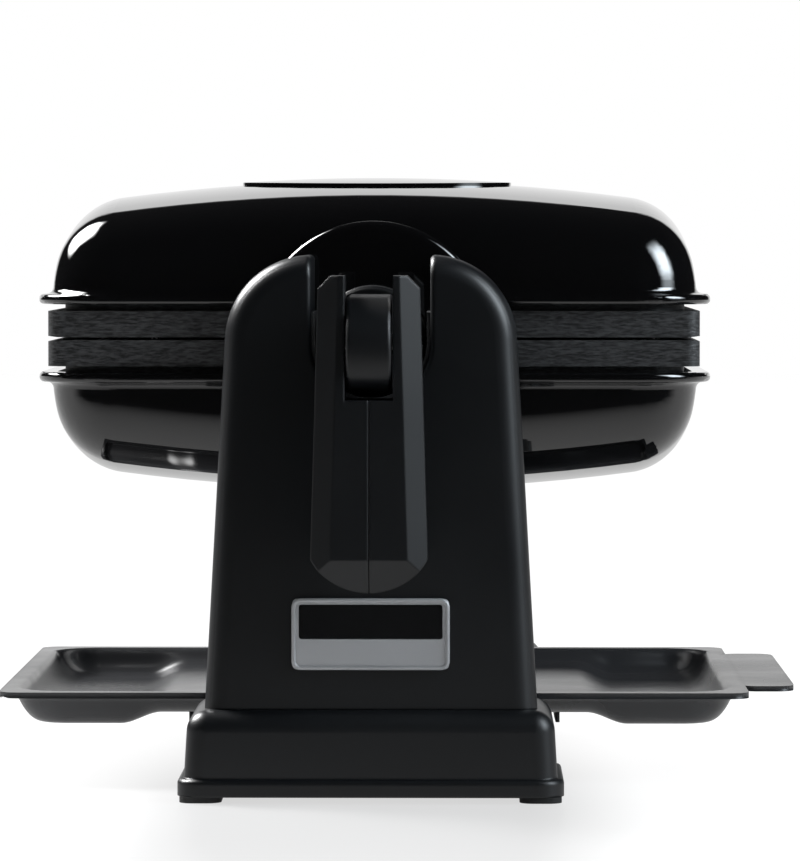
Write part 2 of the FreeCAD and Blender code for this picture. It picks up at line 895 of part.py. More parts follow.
keep(make_thermostat(), "thermostat")
keep(make_dial(), "temperature_dial")
spindle_low = shoulder_top - S.tower_wall - S.thermostat_tall
spindle_long = S.tower_wall + S.thermostat_tall + S.dial_lift + S.spindle_into_dial
keep(cylinder("dial_spindle", S.spindle_radius, spindle_long, ZERO, dial_y, spindle_low), "dial_spindle")
keep(make_lamp("power_lamp", -1), "power_lamp")
keep(make_lamp("ready_lamp", 1), "ready_lamp")
keep(make_gland(), "cord_gland")


# Casings of the iron, drawn about the turning axis with the parting plane at zero height

crown_radius = (S.iron_depth / 2 - S.edge_round) / sine(S.crown_slope) + S.edge_round
crown_sag = crown_radius * (1 - cosine(S.crown_slope))
edge_level = S.crown_height - crown_sag - S.edge_round * cosine(S.crown_slope)
casing_top = S.crown_height + S.corner_round


def casing_side(inset, base, origin):
    """Side outline of a casing, heights from an origin: upright ends, round edges and a crowned top."""
    edge = S.edge_round - inset
    front = iron_front + inset
    back = iron_back - inset
    front_centre = iron_front + S.edge_round
    back_centre = iron_back - S.edge_round
    lean = edge * sine(S.crown_slope)
    low = base - origin
    level = edge_level - origin
    rise = level + edge * cosine(S.crown_slope)
    loop = Loop(front, low)
    loop.line(back, low)
    loop.line(back, level)
    loop.arc(back_centre + lean, rise, back_centre, level)
    loop.arc(front_centre - lean, rise, iron_middle, S.crown_height - crown_radius - origin)
    loop.arc(front, level, front_centre, level)
    return loop.close()


def end_plane(inset, z):
    """Half width of a casing's leaning end at a height, for a skin shrunk by an inset."""
    return casing_half - inset / cosine(S.casing_draft) - (z - S.flange_level) * tangent(S.casing_draft)


def make_barrel(name, inset, base):
    """A bar crowned both ways that runs past both ends of the casing, shrunk by an inset."""
    body = new_body(name)
    axis_level = S.crown_height - S.crown_across
    profile = draw(body, "YZ", ZERO, [casing_side(inset, base - S.casing_wall, axis_level)])
    bind(profile, ".AttachmentOffset.Base.y", axis_level)
    barrel = body.newObject("PartDesign::Revolution", f"{name}_barrel")
    barrel.Profile = profile
    barrel.ReferenceAxis = (profile, ["H_Axis"])
    barrel.Midplane = True
    bind(barrel, "Angle", 2 * arc_tangent((casing_half + S.corner_round) / S.crown_across))
    doc.recompute()
    outside = casing_half + 2 * S.corner_round
    under = rectangle(-outside, base - casing_top, outside, base)
    pocket(body, "XZ", -iron_back, [under], S.iron_depth, True)
    return body


def make_pillow(name, inset, base):
    """The casing's soft box: the bar with leaning ends and rounded corners."""
    inset = as_size(inset)
    base = as_size(base)
    body = make_barrel(name, inset, base)
    outside = casing_half + 2 * S.corner_round
    low = base - casing_top
    ends = []
    for side in (-1, 1):
        ends.append(polygon((side * end_plane(inset, low), low), (side * outside, low),
                            (side * outside, casing_top), (side * end_plane(inset, casing_top), casing_top)))
    pocket(body, "XZ", -iron_back, ends, S.iron_depth, True)

    def on_end(edge):
        for point in (edge.valueAt(edge.FirstParameter), middle(edge), edge.valueAt(edge.LastParameter)):
            if abs(abs(point.x) - end_plane(inset, point.z).value) > TOLERANCE:
                return False
        return not flat_at(edge, "Z", base)

    fillet(body, S.corner_round - inset, on_end)
    return body


def make_casing_skin():
    """The casing's outside: soft box, flared rolled flange and the half-round boss in front."""
    body = make_pillow("casing_skin", ZERO, S.flange_level)
    half_x = casing_half + S.flange_out
    half_y = S.iron_depth / 2 + S.flange_out
    flange = rounded_rectangle(0, iron_middle, half_x, half_y, S.corner_round + S.flange_out)
    pad(body, "XY", S.flange_level, [flange], S.flange_thick)
    fillet(body, S.flange_blend, lambda edge: flat_at(edge, "Z", flange_top) and not on_flange_rim(edge))
    fillet(body, S.flange_round, on_flange_rim)
    chord = root(S.boss_radius * S.boss_radius - S.boss_gap * S.boss_gap)
    boss = Loop(chord, S.boss_gap)
    boss.arc(-chord, S.boss_gap, 0, 0)
    pad(body, "XZ", -boss_front, [boss.close()], S.boss_reach + S.boss_root, True)

    def on_boss(edge):
        return flat_at(edge, "Y", boss_front) and middle(edge).z > chord.value / 2

    fillet(body, S.boss_round, on_boss)
    under = rectangle(-2 * S.boss_radius, -S.boss_gap, 2 * S.boss_radius, S.flange_level)
    pocket(body, "XZ", S.boss_shy - iron_front, [under], S.boss_root + S.boss_reach)
    return body


def on_flange_rim(edge):
    """True on the outer edges of the flange, above and below."""
    half_x = casing_half + S.flange_out
    half_y = S.iron_depth / 2 + S.flange_out
    corner = S.corner_round + S.flange_out
    level = flat_at(edge, "Z", flange_top) or flat_at(edge, "Z", S.flange_level)
    if not level:
        return False
    point = middle(edge)
    x = abs(point.x) - (half_x - corner).value
    y = abs(point.y - iron_middle.value) - (half_y - corner).value
    reach = math.hypot(max(x, 0), max(y, 0))
    return abs(reach - corner.value) < TOLERANCE


def corner_circles(radius):
    """Four circles over the casing's screw posts, on the plates' plan."""
    circles = []
    for across in (-1, 1):
        for along in (-1, 1):
            x = across * (S.plate_half - S.casing_post_in)
            y = iron_middle + along * (S.iron_depth / 2 - S.casing_post_along)
            circles.append(Circle(x, y, radius))
    return circles


def make_posts(name, radius, low, length):
    body = new_body(name)
    pad(body, "XY", low, corner_circles(radius), length)
    return body


def make_upper_casing(skin):
    """Skin, less a hollow in which the screw posts are left standing."""
    hollow = make_pillow("casing_hollow", S.casing_wall, S.flange_level - S.casing_wall)
    posts = make_posts("casing_posts", S.casing_post_radius, S.plate_back, S.crown_height)
    bores = make_posts("casing_bores", S.screw_radius, S.plate_back - S.screw_gap, S.screw_bite)
    room = cut("casing_room", hollow, posts)
    shell = cut("casing_shell", skin, room)
    return place(cut("upper_casing", shell, bores), z=S.axis_height)


def make_crown_panel(skin):
    """A thin oval panel that lies on the crown."""
    raised = make_barrel("panel_skin", -S.panel_rise, S.flange_level)
    oval = doc.addObject("Part::Ellipse", "panel_oval")
    bind(oval, "MajorRadius", S.panel_half_wide)
    bind(oval, "MinorRadius", S.panel_half_deep)
    place(oval, y=iron_middle, z=edge_level)
    prism = doc.addObject("Part::Extrusion", "panel_prism")
    prism.Base = oval
    prism.DirMode = "Custom"
    prism.Dir = FreeCAD.Vector(0, 0, 1)
    prism.Solid = True
    bind(prism, "LengthFwd", S.crown_height)
    slab = doc.addObject("Part::Common", "panel_slab")
    slab.Base = raised
    slab.Tool = prism
    return place(cut("upper_crown_panel", slab, skin), z=S.axis_height)


casing_skin = make_casing_skin()
upper_casing = keep(make_upper_casing(casing_skin), "upper_casing")
upper_panel = keep(make_crown_panel(casing_skin), "upper_crown_panel")


# Waffle plates, heaters and reflector pans

# The grid has as many whole squares as fit inside the margin round the two baking fields.
STUD_COLUMNS = int((S.plate_half - S.grid_web - S.plate_margin).value / S.grid_pitch.value)
STUD_ROWS = int(2 * (plate_deep_half - S.plate_margin).value / S.grid_pitch.value)


def make_plate():
    """A cast plate: rim, raised back, two drafted baking pans and the grid of drafted studs."""
    body = new_body("upper_plate")
    rim = rounded_rectangle(0, iron_middle, S.plate_half, plate_deep_half, S.plate_corner)
    pad(body, "XY", S.part_gap, [rim], S.plate_rim_top - S.part_gap)
    back = rounded_rectangle(0, iron_middle, S.plate_half - S.plate_neck_inset,
                             plate_deep_half - S.plate_neck_inset, S.corner_round - S.plate_neck_inset)
    pad(body, "XY", S.plate_rim_top, [back], S.plate_back - S.plate_rim_top)
    wedges = []
    for side in (-1, 1):
        tip = side * (S.plate_half - S.bevel_long)
        edge = side * (S.plate_half + S.bevel_long)
        wedges.append(polygon((tip, S.part_gap), (edge, S.part_gap), (edge, S.part_gap + 2 * S.bevel_rise)))
    pocket(body, "XZ", -iron_back, wedges, S.iron_depth, True)
    pan_y = S.grid_pitch * (STUD_ROWS / 2)
    pans = []
    for side in (-1, 1):
        near = side * S.grid_web
        far = side * (S.grid_web + S.grid_pitch * STUD_COLUMNS)
        pans.append(rectangle(near, iron_middle - pan_y, far, iron_middle + pan_y))
    pocket(body, "XY", S.part_gap, pans, S.grid_depth, True, -S.grid_draft)
    make_studs(body)
    pocket(body, "XY", S.part_gap, corner_circles(S.screw_head + S.screw_gap), S.screw_sink, True)
    pocket(body, "XY", S.part_gap, corner_circles(S.screw_radius + S.screw_gap), S.plate_back, True)
    return place(body, z=S.axis_height)


def make_studs(body):
    """One row of studs across both pans, repeated along the depth."""
    row_y = iron_middle - S.grid_pitch * ((STUD_ROWS - 1) / 2)
    half = S.stud_half
    studs = []
    for side in (-1, 1):
        for column in range(STUD_COLUMNS):
            x = side * (S.grid_web + S.grid_pitch * (column + 0.5))
            studs.append(rectangle(x - half, row_y - half, x + half, row_y + half))
    floor = S.part_gap + S.grid_depth + S.stud_root
    tall = S.grid_depth + S.stud_root - S.stud_shy
    row = pad(body, "XY", floor, studs, tall, True, -S.stud_draft)
    rows = body.newObject("PartDesign::LinearPattern", f"{body.Name}_rows")
    rows.Originals = [row]
    rows.Direction = (row.Profile[0], ["V_Axis"])
    rows.Occurrences = STUD_ROWS
    bind(rows, "Length", S.grid_pitch * (STUD_ROWS - 1))
    body.Tip = rows
    doc.recompute()


def make_heater():
    """A tubular heater: a round bar bent into an open ring on the plate's back."""
    body = new_body("upper_heater")
    level = S.plate_back + S.heater_radius + S.heater_seat
    low = iron_middle - S.heater_half_deep
    high = iron_middle + S.heater_half_deep
    wide = S.heater_half_wide
    bend = S.heater_bend
    run = Loop(S.heater_break, high)
    run.line(wide - bend, high)
    run.arc(wide, high - bend, wide - bend, high - bend, turn=-1)
    run.line(wide, low + bend)
    run.arc(wide - bend, low, wide - bend, low + bend, turn=-1)
    run.line(bend - wide, low)
    run.arc(-wide, low + bend, bend - wide, low + bend, turn=-1)
    run.line(-wide, high - bend)
    run.arc(bend - wide, high, bend - wide, high - bend, turn=-1)
    run.line(-S.heater_break, high)
    path = draw(body, "XY", level, [run], closed=False)
    section = draw(body, "YZ", S.heater_break, [Circle(high, level, S.heater_radius)])
    doc.recompute()
    tube = body.newObject("PartDesign::AdditivePipe", "upper_heater_tube")
    tube.Profile = section
    tube.Spine = (path, [f"Edge{n + 1}" for n in range(len(run.steps))])
    doc.recompute()
    return place(body, z=S.axis_height)


def make_pan():
    """The reflector pan over the heater, open towards the plate."""
    body = new_body("upper_reflector")
    outside = rounded_rectangle(0, iron_middle, S.pan_half_wide, S.pan_half_deep, S.pan_corner)
    inside = rounded_rectangle(0, iron_middle, S.pan_half_wide - S.pan_thick, S.pan_half_deep - S.pan_thick,
                               S.pan_corner - S.pan_thick)
    pad(body, "XY", S.plate_back, [outside], S.pan_tall)
    pocket(body, "XY", S.plate_back, [inside], S.pan_tall - S.pan_thick, True)
    return place(body, z=S.axis_height)


def make_plate_screws():
    body = new_body("upper_plate_screws")
    seat = S.part_gap + S.screw_sink
    pad(body, "XY", seat, corner_circles(S.screw_head), S.screw_head_tall, True)
    pad(body, "XY", seat, corner_circles(S.screw_radius), S.plate_back + S.screw_bite - seat - S.screw_gap)
    return place(body, z=S.axis_height)


upper_plate = keep(make_plate(), "upper_plate")
upper_heater = keep(make_heater(), "upper_heater")
upper_pan = keep(make_pan(), "upper_reflector")
upper_screws = keep(make_plate_screws(), "upper_plate_screws")
keep(mirrored("lower_casing", upper_casing), "lower_casing")
keep(mirrored("lower_crown_panel", upper_panel), "lower_crown_panel")
keep(mirrored("lower_plate", upper_plate), "lower_plate")
keep(mirrored("lower_heater", upper_heater), "lower_heater")
keep(mirrored("lower_reflector", upper_pan), "lower_reflector")
keep(mirrored("lower_plate_screws", upper_screws), "lower_plate_screws")


# Half necks in the cradle, and the handle bracket on the upper one

def make_neck(name, side, length):
    """Half of the round neck between the boss and the handle bracket."""
    body = new_body(name)
    chord = root(neck_radius * neck_radius - S.neck_gap * S.neck_gap)
    half = Loop(side * chord, side * S.neck_gap)
    half.arc(-side * chord, side * S.neck_gap, 0, 0)
    pad(body, "XZ", -boss_front, [half.close()], length)
    tip = boss_front - length

    def on_tip(edge):
        return flat_at(edge, "Y", tip) and abs(middle(edge).z) > chord.value / 2

    chamfer(body, S.neck_bevel, S.neck_bevel, on_tip)
    return place(body, z=S.axis_height)


def make_handle_bracket():
    """The tongue that carries the handle: a flat bar with a round eye about the pivot."""
    body = new_body("handle_bracket")
    radius = S.tongue_radius
    side = Loop(neck_front, -radius)
    side.line(neck_front, radius)
    side.line(pivot_front, radius)
    side.arc(pivot_front, -radius, pivot_front, 0)
    pad(body, "YZ", -S.tongue_half, [side.close()], 2 * S.tongue_half)

    def on_flank(edge):
        flank = flat_at(edge, "X", S.tongue_half) or flat_at(edge, "X", -S.tongue_half)
        return flank and not flat_at(edge, "Y", neck_front)

    fillet(body, S.tongue_edge, on_flank)
    bore = Circle(pivot_front, 0, S.handle_pin_radius + S.running_gap)
    pocket(body, "YZ", -S.tongue_half, [bore], 2 * S.tongue_half, True)
    return place(body, z=S.axis_height)


keep(make_neck("upper_neck", 1, S.neck_long), "upper_neck")
keep(make_neck("lower_neck", -1, S.neck_long - S.neck_shy), "lower_neck")
keep(make_handle_bracket(), "handle_bracket")


# Folding handle, hanging down at rest

handle_back = pivot_front + S.handle_thick / 2
handle_front = pivot_front - S.handle_thick / 2
handle_screw_places = (S.handle_screw_first, S.handle_screw_second)
end_centre = S.handle_end_radius - S.handle_end
side_end = end_centre - root(S.handle_end_radius * S.handle_end_radius - S.handle_half * S.handle_half)


def make_handle_half():
    """The right half shell: a fork lug above, a faceted grip with a round end below."""
    body = new_body("handle_right_half")
    seam = S.handle_seam
    tip = end_centre - root(S.handle_end_radius * S.handle_end_radius - seam * seam)
    outline = Loop(seam, tip)
    outline.arc(S.handle_half, side_end, 0, end_centre)
    outline.line(S.lug_half, S.lug_top - S.lug_bevel)
    outline.line(S.lug_half - S.lug_bevel, S.lug_top)
    outline.line(S.fork_half, S.lug_top)
    outline.line(S.fork_half, -S.fork_low)
    outline.line(seam, -S.fork_low)
    pad(body, "XZ", -handle_back, [outline.close()], S.handle_thick)

    def on_side(edge, level):
        point = middle(edge)
        beside = point.x > S.lug_half.value and point.z < (S.lug_top - S.lug_bevel).value
        return beside and point.z > side_end.value and flat_at(edge, "Y", level)

    chamfer(body, S.handle_facet, S.handle_facet_deep, lambda edge: on_side(edge, handle_front), True)
    chamfer(body, S.handle_back_bevel, S.handle_back_bevel, lambda edge: on_side(edge, handle_back))
    ahead = handle_front - S.handle_end_deep
    below = -2 * S.handle_end - side_end
    wedge = polygon((handle_front, side_end), (ahead, side_end), (ahead, below),
                    (handle_front + 2 * S.handle_end_deep, below))
    pocket(body, "YZ", 0, [wedge], 2 * S.handle_half, True)
    pivot = Circle(pivot_front, 0, S.handle_pin_radius)
    pocket(body, "YZ", 0, [pivot], 2 * S.handle_half, True)
    shanks = [Circle(pivot_front, -z, S.screw_radius + S.screw_gap) for z in handle_screw_places]
    pocket(body, "YZ", 0, shanks, 2 * S.handle_half, True)
    heads = [Circle(pivot_front, -z, S.screw_head + S.screw_gap) for z in handle_screw_places]
    pocket(body, "YZ", S.handle_wall, heads, 2 * S.handle_half, True)
    return place(body, z=S.axis_height)


def make_handle_screws():
    """Sleeve bolts that hold the two halves of the grip together."""
    body = new_body("handle_screws")
    shanks = [Circle(pivot_front, -z, S.screw_radius) for z in handle_screw_places]
    heads = [Circle(pivot_front, -z, S.screw_head) for z in handle_screw_places]
    pad(body, "YZ", -S.handle_wall, shanks, 2 * S.handle_wall)
    pad(body, "YZ", S.handle_wall, heads, S.screw_head_tall)
    pad(body, "YZ", -S.handle_wall, heads, S.screw_head_tall, True)
    return place(body, z=S.axis_height)


right_half = keep(make_handle_half(), "handle_right_half")
left_half = doc.addObject("Part::Mirroring", "handle_left_half")
left_half.Source = right_half
left_half.Normal = FreeCAD.Vector(1, 0, 0)
keep(left_half, "handle_left_half")
pin_long = 2 * (S.lug_half - S.tongue_edge)
keep(cylinder("handle_pin", S.handle_pin_radius, pin_long, -pin_long / 2, pivot_front, S.axis_height,
              (0, 1, 0), 90), "handle_pin")
keep(make_handle_screws(), "handle_screws")


# Rear hinge and axle

ear_places = []
for first in (S.ear_inner, S.ear_inner + S.ear_thick + S.arm_thick + 2 * S.ear_side_gap):
    ear_places.append(first)
    ear_places.append(-first - S.ear_thick)
arm_first = S.ear_inner + S.ear_thick + S.ear_side_gap
arm_places = [arm_first, -arm_first - S.arm_thick]
hinge_span = 2 * S.ear_thick + S.arm_thick + 2 * S.ear_side_gap


def make_axle_bracket():
    """The lower iron's bracket: a foot on the casing, a web with a hub, and four hinge ears."""
    body = new_body("axle_bracket")
    foot = polygon((iron_back, -bracket_high), (web_back, -bracket_high), (web_back, S.web_top),
                   (web_front, S.web_top), (web_front, -bracket_low), (iron_back, -bracket_low))
    pad(body, "YZ", -S.bracket_half, [foot], 2 * S.bracket_half)
    pad(body, "XZ", -web_front, [Circle(0, 0, S.axle_flange)], S.web_thick, True)
    back = hinge_y + S.knuckle_radius
    front = hinge_y - S.knuckle_radius
    for first in ear_places:
        ear = Loop(front, ZERO)
        ear.line(back, ZERO)
        ear.line(back, S.hinge_rise)
        ear.arc(front, S.hinge_rise, hinge_y, S.hinge_rise)
        pad(body, "YZ", first, [ear.close()], S.ear_thick)
    bore = Circle(hinge_y, S.hinge_rise, S.hinge_pin_radius)
    pocket(body, "YZ", -S.bracket_half, [bore], 2 * S.bracket_half, True)
    pocket(body, "XZ", -web_front, [Circle(0, 0, S.axle_bore)], S.web_thick)
    return place(body, z=S.axis_height)


def make_lid_bracket():
    """The upper iron's bracket: a plate on the casing and two hinge arms."""
    body = new_body("lid_bracket")
    plate = rectangle(iron_back, bracket_low, iron_back + S.lid_plate_thick, bracket_high)
    pad(body, "YZ", -S.bracket_half, [plate], 2 * S.bracket_half)
    clear = iron_back + S.flange_out + S.bracket_margin
    for first in arm_places:
        arm = Loop(iron_back, bracket_high)
        arm.line(iron_back, bracket_low)
        arm.line(clear, bracket_low)
        arm.line(hinge_y - S.knuckle_radius, S.hinge_rise)
        arm.arc(hinge_y, S.hinge_rise + S.knuckle_radius, hinge_y, S.hinge_rise)
        pad(body, "YZ", first, [arm.close()], S.arm_thick)
    bore = Circle(hinge_y, S.hinge_rise, S.hinge_pin_radius + S.running_gap)
    pocket(body, "YZ", -S.bracket_half, [bore], 2 * S.bracket_half, True)
    return place(body, z=S.axis_height)


def make_hinge_pins():
    body = new_body("hinge_pins")
    pin = [Circle(hinge_y, S.hinge_rise, S.hinge_pin_radius)]
    pad(body, "YZ", S.ear_inner, pin, hinge_span)
    pad(body, "YZ", -S.ear_inner, pin, hinge_span, True)
    return place(body, z=S.axis_height)


ring_front = S.gap_half + S.bush_long + S.ring_gap
axle_end = ring_front + S.ring_thick + S.axle_tail


def make_axle():
    """The hollow rear axle, with a flange on the bracket's web."""
    body = new_body("rear_axle")
    bore = Circle(0, 0, S.axle_bore)
    pad(body, "XZ", -web_back, [Circle(0, 0, S.axle_flange - S.axle_flange_thick), bore],
        S.axle_flange_thick, True)
    pad(body, "XZ", -web_back, [Circle(0, 0, S.axle_radius), bore], axle_end - web_back, True)
    return place(body, z=S.axis_height)


def make_retaining_ring():
    body = new_body("retaining_ring")
    ring = [Circle(0, 0, S.axle_radius + S.ring_wall), Circle(0, 0, S.axle_radius)]
    pad(body, "XZ", -ring_front, ring, S.ring_thick, True)
    return place(body, z=S.axis_height)


keep(make_axle_bracket(), "axle_bracket")
keep(make_lid_bracket(), "lid_bracket")
keep(make_hinge_pins(), "hinge_pins")
keep(make_axle(), "rear_axle")
keep(make_retaining_ring(), "retaining_ring")


# Drip tray

def tray_section(inset, top):
    """Front section of the tray: a raised floor with a well at each end."""
    rim_half = S.tray_half - S.tray_rim_wide - inset
    well_out = S.tray_well_out - inset
    points = [(rim_half, top), (-rim_half, top)]
    floor = [(well_out, S.tray_well_low), (S.tray_well_in, S.tray_well_low),
             (S.tray_floor_half, S.tray_floor_low)]
    for x, z in floor:
        points.append((-x, z + inset))
    for x, z in reversed(floor):
        points.append((x, z + inset))
    return polygon(*points)


def make_tray():
    """A sheet-like tray: pan, rim, ribs under the floor and a pull tab on the right."""
    body = new_body("drip_tray")
    rim_low = S.tray_rim_top - S.tray_rim_thick
    pan_half = tray_deep_half - S.tray_rim_wide
    pad(body, "XZ", -pan_half, [tray_section(ZERO, S.tray_rim_top)], 2 * pan_half)
    rim = rounded_rectangle(0, 0, S.tray_half, tray_deep_half, S.tray_corner)
    pad(body, "XY", rim_low, [rim], S.tray_rim_thick)
    tab_end = S.tray_half + S.tab_long
    tab = Loop(S.tray_half - S.tray_rim_wide, -S.tab_half)
    tab.line(tab_end - S.tab_corner, -S.tab_half)
    tab.arc(tab_end, S.tab_corner - S.tab_half, tab_end - S.tab_corner, S.tab_corner - S.tab_half)
    tab.line(tab_end, S.tab_half - S.tab_corner)
    tab.arc(tab_end - S.tab_corner, S.tab_half, tab_end - S.tab_corner, S.tab_half - S.tab_corner)
    tab.line(S.tray_half - S.tray_rim_wide, S.tab_half)
    pad(body, "XY", rim_low, [tab.close()], S.tray_rim_thick)
    inner_half = pan_half - S.tray_wall
    top = S.tray_rim_top + S.tray_wall
    pocket(body, "XZ", inner_half, [tray_section(S.tray_wall, top)], 2 * inner_half)
    ribs = []
    for side in (-1, 1):
        x = side * S.tray_rib_across
        half = S.tray_rib_thick / 2
        ribs.append(rectangle(x - half, -S.tray_rib_half, x + half, S.tray_rib_half))
    pad(body, "XY", S.tray_well_low, ribs, S.tray_floor_low - S.tray_well_low + S.tray_wall / 2)
    return body


keep(make_tray(), "drip_tray")


# Check the whole document, then write each sub-part

doc.recompute()
for item in doc.Objects:
    if "Invalid" in item.State or "Error" in item.State:
        raise RuntimeError(f"{item.Label} did not build: {item.State}")
for item in sub_parts:
    if item.Shape.isNull() or not item.Shape.isValid() or not item.Shape.Solids:
        raise RuntimeError(f"{item.Label} has no valid solid")

os.makedirs("parts", exist_ok=True)
for item in sub_parts:
    item.Shape.exportStep(f"parts/{item.Label}.step")
print(f"{len(sub_parts)} sub-parts written")
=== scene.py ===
import json
import math
import bpy
import numpy as np
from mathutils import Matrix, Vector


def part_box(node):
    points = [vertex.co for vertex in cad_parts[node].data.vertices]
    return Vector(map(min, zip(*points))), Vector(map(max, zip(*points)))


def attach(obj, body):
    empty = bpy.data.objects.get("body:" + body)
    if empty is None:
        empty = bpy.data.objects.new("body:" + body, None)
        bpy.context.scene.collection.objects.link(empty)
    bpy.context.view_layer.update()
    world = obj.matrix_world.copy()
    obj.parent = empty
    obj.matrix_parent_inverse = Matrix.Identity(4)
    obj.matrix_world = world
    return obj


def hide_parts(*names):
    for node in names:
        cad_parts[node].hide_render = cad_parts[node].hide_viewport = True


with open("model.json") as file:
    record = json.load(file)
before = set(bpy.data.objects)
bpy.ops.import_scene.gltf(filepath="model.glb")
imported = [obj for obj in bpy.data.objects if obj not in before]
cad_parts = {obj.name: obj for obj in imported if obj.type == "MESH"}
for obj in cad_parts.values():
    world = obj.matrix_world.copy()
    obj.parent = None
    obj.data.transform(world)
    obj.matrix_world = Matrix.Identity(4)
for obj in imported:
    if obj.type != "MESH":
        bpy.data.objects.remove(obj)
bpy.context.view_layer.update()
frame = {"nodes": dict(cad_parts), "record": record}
scene = bpy.context.scene
print("stage: frame loaded")


# Camera

cameraSet = {
    "place": (0.036, -2.1545, 0.2276),
    "pitch": 2.26,
    "yaw": 0.70,
    "lens": 205.9,
    "sensor": 36.0,
    "width": 800,
    "height": 861,
}


def makeCamera(settings):
    data = bpy.data.cameras.new("camera")
    data.lens = settings["lens"]
    data.sensor_width = settings["sensor"]
    camera = bpy.data.objects.new("camera", data)
    camera.location = settings["place"]
    pitch = math.radians(90.0 - settings["pitch"])
    camera.rotation_euler = (pitch, 0.0, math.radians(settings["yaw"]))
    scene.collection.objects.link(camera)
    scene.camera = camera
    scene.render.resolution_x = settings["width"]
    scene.render.resolution_y = settings["height"]


makeCamera(cameraSet)
scene.view_settings.view_transform = "Standard"
print("stage: camera")


# Node helpers

def addNode(tree, kind, **values):
    node = tree.nodes.new(kind)
    for name, value in values.items():
        setattr(node, name, value)
    return node


def connect(tree, source, target):
    tree.links.new(source, target)


def addMath(tree, operation, first, second):
    node = addNode(tree, "ShaderNodeMath", operation=operation)
    for socket, value in zip(node.inputs, (first, second)):
        if isinstance(value, (int, float)):
            socket.default_value = value
        else:
            connect(tree, value, socket)
    return node.outputs[0]


def addRange(tree, value, low, high, lowOut, highOut, smooth=True):
    node = addNode(tree, "ShaderNodeMapRange")
    node.interpolation_type = "SMOOTHSTEP" if smooth else "LINEAR"
    connect(tree, value, node.inputs["Value"])
    node.inputs["From Min"].default_value = low
    node.inputs["From Max"].default_value = high
    node.inputs["To Min"].default_value = lowOut
    node.inputs["To Max"].default_value = highOut
    return node.outputs["Result"]


# World: white behind the object for what is seen or mirrored, dark in front of it, dim as a light

worldSet = {
    "tint": (1.0, 1.0, 1.0, 1.0),
    "ambient": 0.30,
    "frontGlow": 0.010,
    "backGlow": 0.85,
    "turnLow": 0.84,
    "turnHigh": 0.93,
}


def makeWorld(settings):
    world = bpy.data.worlds.new("studio")
    scene.world = world
    world.use_nodes = True
    tree = world.node_tree
    tree.nodes.clear()
    out = addNode(tree, "ShaderNodeOutputWorld")
    light = addNode(tree, "ShaderNodeBackground")
    path = addNode(tree, "ShaderNodeLightPath")
    place = addNode(tree, "ShaderNodeTexCoord")
    parts = addNode(tree, "ShaderNodeSeparateXYZ")
    connect(tree, place.outputs["Generated"], parts.inputs[0])
    mirrored = addRange(tree, parts.outputs["Y"], settings["turnLow"], settings["turnHigh"],
                        settings["frontGlow"], settings["backGlow"])
    glossy = addMath(tree, "MULTIPLY", path.outputs["Is Glossy Ray"], mirrored)
    seen = addMath(tree, "MAXIMUM", path.outputs["Is Camera Ray"], path.outputs["Is Transmission Ray"])
    shown = addMath(tree, "MAXIMUM", seen, glossy)
    soft = addMath(tree, "MULTIPLY", path.outputs["Is Diffuse Ray"], settings["ambient"])
    strength = addMath(tree, "MAXIMUM", shown, soft)
    light.inputs["Color"].default_value = settings["tint"]
    connect(tree, strength, light.inputs["Strength"])
    connect(tree, light.outputs[0], out.inputs["Surface"])


makeWorld(worldSet)


# Floor: white for the camera, with a soft shade at the plinth that is partly real shading from the lamps
# and partly a painted shadow made by dimming the glow; in mirrors it is bright near the object and dark
# further to the front

floorSet = {
    "half": 6.0,
    "level": -0.0002,
    "tint": (0.90, 0.90, 0.90, 1.0),
    "glow": 1.21,
    "shade": 0.10,
    "polish": 0.42,
    "glance": 8.0,
    "polishRough": 0.22,
    "shadeNear": 0.22,
    "shadeFar": 0.62,
    "nearEdge": -0.12,
    "farEdge": -0.70,
    "mirrorNear": 0.62,
    "mirrorFar": 0.015,
    # painted shadow: how far the floor's glow is dimmed in front of the plinth, and the box and fade it
    # spreads over
    "paintedShadeDepth": 0.30,
    "paintedShadeMiddle": (0.0, -0.24, 0.0),
    "paintedShadeHalf": (0.06, 0.03, 0.0),
    "paintedShadeFade": (0.06, 0.45, 1.0),
}


